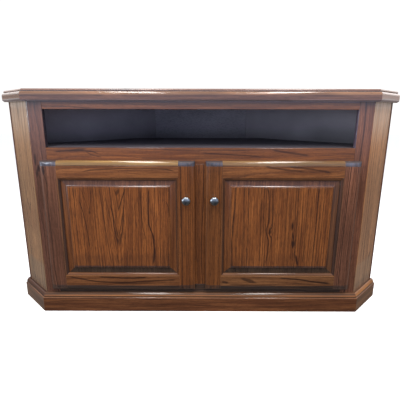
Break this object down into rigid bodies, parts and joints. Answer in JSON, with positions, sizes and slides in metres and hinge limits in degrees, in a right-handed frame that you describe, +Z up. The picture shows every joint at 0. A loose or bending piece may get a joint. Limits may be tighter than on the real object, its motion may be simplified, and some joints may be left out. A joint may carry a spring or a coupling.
{
  "type": "corner tv cabinet",
  "caption": "Oak corner television cabinet with canted sides, an open equipment bay over two raised-panel doors, a moulded top and a moulded base.",
  "frame": {"origin": "middle of the footprint box, on the floor", "axes": "+X to the right along the long face frame, -Y out of the doors, +Z up"},
  "size_m": [1.3538, 0.607, 0.762],
  "materials": {
    "oak_rail": "oak, red-brown stain under gloss varnish, grain along the rail",
    "oak_stile": "oak, dark purple-brown stain under gloss varnish, upright grain",
    "oak_panel": "oak with a cathedral grain, warm brown stain under gloss varnish",
    "oak_side": "oak, lighter grey-brown where it takes the light, varnished",
    "oak_base": "oak, dark brown stain under gloss varnish",
    "plywood": "oak-faced plywood, thin satin stain",
    "black_plywood": "plywood stained black, satin",
    "steel": "nickel-plated steel",
    "knob_metal": "satin pewter",
    "rubber": "soft translucent grey"
  },
  "bodies": {
    "carcase": {"top_panel": "oak_rail", "top_moulding_front": "oak_rail", "face_rail_top": "oak_rail", "face_rail_middle": "oak_rail", "face_rail_bottom": "oak_rail", "top_moulding_left": "oak_side", "top_moulding_right": "oak_side", "side_panel_left": "oak_side", "side_panel_right": "oak_side", "face_stile_left": "oak_stile", "face_stile_right": "oak_stile", "face_stile_centre": "oak_stile", "side_edge_strip_left": "oak_stile", "side_edge_strip_right": "oak_stile", "back_panel_left": "plywood", "back_panel_right": "plywood", "back_panel_centre": "plywood", "rear_toe_board": "plywood", "bottom_deck": "plywood", "centre_partition": "plywood", "adjustable_shelf_left": "plywood", "adjustable_shelf_right": "plywood", "compartment_shelf": "black_plywood", "base_moulding_front": "oak_base", "base_moulding_left": "oak_base", "base_moulding_right": "oak_base", "shelf_pin_side_front_left": "steel", "shelf_pin_side_front_right": "steel", "shelf_pin_side_rear_left": "steel", "shelf_pin_side_rear_right": "steel", "shelf_pin_middle_front_left": "steel", "shelf_pin_middle_front_right": "steel", "shelf_pin_middle_rear_left": "steel", "shelf_pin_middle_rear_right": "steel", "hinge_plate_left_lower": "steel", "hinge_plate_left_upper": "steel", "hinge_plate_right_lower": "steel", "hinge_plate_right_upper": "steel"},
    "left_door": {"door_left_stile_outer": "oak_stile", "door_left_stile_inner": "oak_stile", "door_left_rail_top": "oak_rail", "door_left_rail_bottom": "oak_rail", "door_left_raised_panel": "oak_panel", "door_left_knob": "knob_metal", "door_left_knob_screw": "steel", "door_left_hinge_cup_lower": "steel", "door_left_hinge_cup_upper": "steel", "door_left_bumper_lower": "rubber", "door_left_bumper_upper": "rubber"},
    "right_door": {"door_right_stile_outer": "oak_stile", "door_right_stile_inner": "oak_stile", "door_right_rail_top": "oak_rail", "door_right_rail_bottom": "oak_rail", "door_right_raised_panel": "oak_panel", "door_right_knob": "knob_metal", "door_right_knob_screw": "steel", "door_right_hinge_cup_lower": "steel", "door_right_hinge_cup_upper": "steel", "door_right_bumper_lower": "rubber", "door_right_bumper_upper": "rubber"}
  },
  "joints": [
    {"name": "left_door_hinge", "type": "hinge", "parent": "carcase", "child": "left_door", "pos_m": [-0.5117, -0.2695, 0.3125], "axis": [0, 0, -1], "range_deg": [0, 105]},
    {"name": "right_door_hinge", "type": "hinge", "parent": "carcase", "child": "right_door", "pos_m": [0.5117, -0.2695, 0.3125], "axis": [0, 0, 1], "range_deg": [0, 105]}
  ]
}
